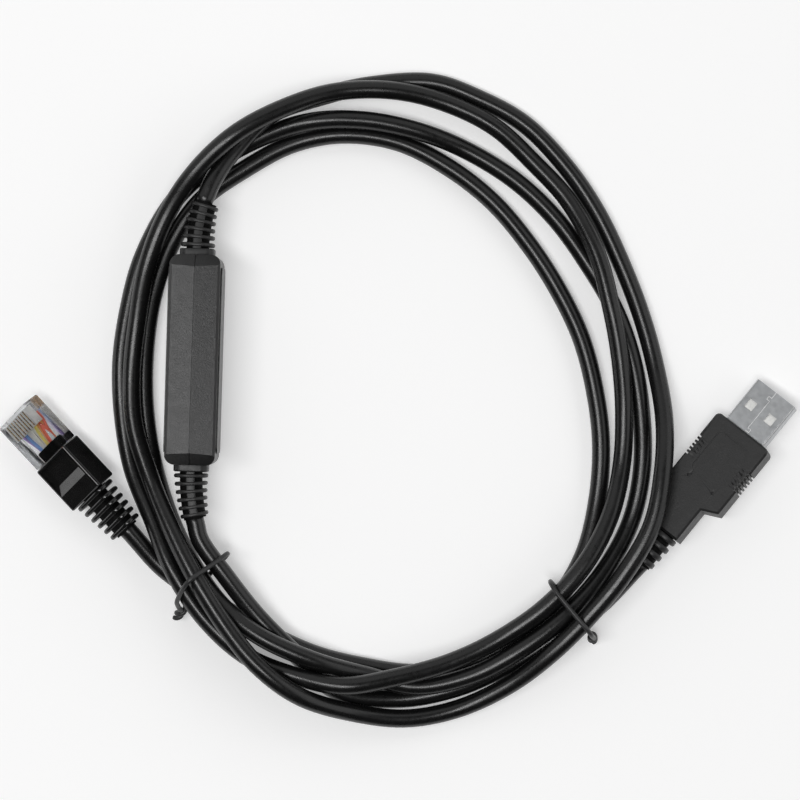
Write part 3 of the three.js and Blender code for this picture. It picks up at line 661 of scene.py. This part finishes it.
# Modular plug
def clear_body(place):
    """The clear body with its latch, and the light walls between the contacts, WALL_AT in y and z."""
    shape = Shape()
    shape.loft(pillow_rings(BODY_WIDE, BODY_TALL, BODY_OUT, corner=0.45, edge=0.4))
    latch = []
    for (upper_y, upper_z), (lower_y, lower_z) in LATCH_SECTIONS:
        latch.append([Vector((-LATCH_HALF, upper_y, upper_z)), Vector((LATCH_HALF, upper_y, upper_z)),
                      Vector((LATCH_HALF, lower_y, lower_z)), Vector((-LATCH_HALF, lower_y, lower_z))])
    shape.loft(latch)
    for i in range(len(WIRE_ORDER) + 1):
        across = (i - len(WIRE_ORDER) / 2) * BLADE_PITCH
        wall = pillow_rings(WALL_WIDE, WALL_TALL, WALL_LONG, corner=0.08, edge=0.08, steps=1)
        shape.loft(wall, 1, Matrix.Translation((across, *WALL_AT)))
    made = shape.build("clear_body", place, "plug_body")
    finish_piece(made, clear("clear_plastic"))
    shape.second_material(made, insulation("comb_walls", (0.82, 0.8, 0.77)))
    return made


def plug_wires(place):
    """The wires fan out of the jacket to their contacts in two layers."""
    materials = {slot: insulation(slot, color) for slot, color in WIRE_COLORS.items()}
    for i, slot in enumerate(WIRE_ORDER):
        across = (i - (len(WIRE_ORDER) - 1) / 2) * BLADE_PITCH
        lift = WIRE_LIFT if i % 2 else -WIRE_LIFT
        route = [(across * spread, y, z + lift * share) for spread, y, z, share in WIRE_PATH]
        line = [place @ p for p in spline(route, WIRE_STEPS)]
        wire = tube(f"wire_{i + 1}", line, WIRE_D / 2 * MM, WIRE_SIDES)
        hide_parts(f"plug_wire_{i + 1}")
        finish_piece(wire, materials[slot])


def modular_plug():
    """Makes the plug and returns the two pieces that the cable carries, its boot and its body."""
    place = placed(PLUG_AT, PLUG_TURN, PLUG_ROLL)
    body = clear_body(place)
    plug_wires(place)
    jacket = Shape()
    jacket.loft(pillow_rings(JACKET_WIDE, JACKET_TALL, JACKET_LONG, corner=1.5, edge=0.5),
                move=Matrix.Translation(JACKET_AT))
    # The jacket end is black and takes the same near-black dull material as the painted shade of the relief
    # slots.
    finish_piece(jacket.build("jacket_end", place, "plug_jacket_end"), jacket_black_and_painted_shade)
    boot = copy_of("boot", "plug_boot", place=place, end=BOOT_END, crease=BOOT_CREASES)
    soften(boot, BOOT_EDGE)
    finish_piece(boot, boot_material)
    ribs = Shape()
    add_relief(ribs, BOOT_END + BOOT_RELIEF_IN, BOOT_RELIEF_LONG, wide=(12.2, 9.3), tall=(7.2, 6.2),
               core=5.8, ribs=6, gap_share=0.42, edge=0.5)
    relief = finish_piece(ribs.build("boot_relief", place), boot_material)
    ribs.second_material(relief, jacket_black_and_painted_shade)
    return boot, body


# Floor and light
def make_floor():
    half = FLOOR_HALF
    floor = mesh_object("floor", [(-half, -half, 0), (half, -half, 0), (half, half, 0), (-half, half, 0)],
                        [(0, 1, 2, 3)], smooth=False)
    n = Nodes("floor", Roughness=0.9, Specular_IOR_Level=0.2, Emission_Strength=0.3)
    n.shader.inputs["Base Color"].default_value = (0.82, 0.82, 0.82, 1)
    n.shader.inputs["Emission Color"].default_value = (1, 1, 1, 1)
    floor.data.materials.append(n.material)


def softbox(name, at, aim, size, radiance, turn=0.0):
    """A rectangular light that is equally bright all over; the camera doesn't see it."""
    data = bpy.data.lights.new(name, "AREA")
    data.shape = "RECTANGLE"
    data.size, data.size_y = size
    data.energy = radiance * math.pi * size[0] * size[1]
    light = bpy.data.objects.new(name, data)
    light.location = at
    aimed = (Vector(aim) - Vector(at)).to_track_quat("-Z", "Y").to_matrix()
    light.rotation_euler = (Matrix.Rotation(math.radians(turn), 3, "Z") @ aimed).to_euler()
    light.visible_camera = False
    bpy.context.collection.objects.link(light)


def make_world(strength):
    world = bpy.data.worlds.new("studio")
    world.use_nodes = True
    background = world.node_tree.nodes["Background"]
    background.inputs["Color"].default_value = (1, 1, 1, 1)
    background.inputs["Strength"].default_value = strength
    bpy.context.scene.world = world


# The scene
make_camera()
black_pvc = pvc("cable_pvc")
make_cord("cable_usb_side", "cord_usb_side", USB_ROUTE, black_pvc)

boot_material = glossy("boot_plastic")
# Painted shade: the core of each strain relief is near-black and dull, for the shade in its slots; the jacket
# end in the modular plug is black and takes the same material.
jacket_black_and_painted_shade = painted_shade_core("dull_black_and_painted_shade")
relief_material = pvc("relief_pvc", 0.012, (0.4, 0.5))

housing = softened("housing", "converter_housing", CASE_EDGE, 3)
finish_piece(housing, textured("case_plastic", 0.01, (0.34, 0.4)))
converter_relief("relief_usb_side", "converter_relief_usb_side", -1, USB_SIDE_BEND)
converter_relief("relief_plug_side", "converter_relief_plug_side", 1, PLUG_SIDE_BEND)

usb_plug()

tie_material = pvc("tie_coating", 0.02, (0.35, 0.5))
for side in ("left", "right"):
    tie = rounded(f"tie_wire_{side}", f"tie_{side}", TIE_SMOOTHING, TIE_SWELL)
    finish_piece(tie, tie_material)

gold_material = gold("gold")
for i in range(len(WIRE_ORDER)):
    plain(f"plug_contact_{i + 1}", gold_material)
for i in range(USB_CONTACTS):
    plain(f"usb_contact_{i + 1}", gold_material)

boot, body = modular_plug()
make_cord("cable_plug_side", "cord_plug_side", PLUG_ROUTE, black_pvc)
plain("usb_tongue", insulation("white_plastic", (0.85, 0.85, 0.83)))

make_floor()
softbox("strip", at=(-0.35, -0.12, 1.4), aim=(-0.35, -0.12, 0), size=(1.1, 0.3), radiance=11, turn=-28)
softbox("left_panel", at=(-1.3, -0.15, 0.14), aim=(0, 0, 0.02), size=(0.7, 0.26), radiance=2.2)
softbox("back_panel", at=(-0.3, 1.05, 0.75), aim=(-0.1, 0, 0), size=(3.2, 1.5), radiance=0.62)
softbox("right_panel", at=(1.2, 0.1, 0.7), aim=(0, 0, 0), size=(1.6, 1.3), radiance=1.0)
make_world(0.03)
bpy.context.scene.view_settings.view_transform = "Standard"
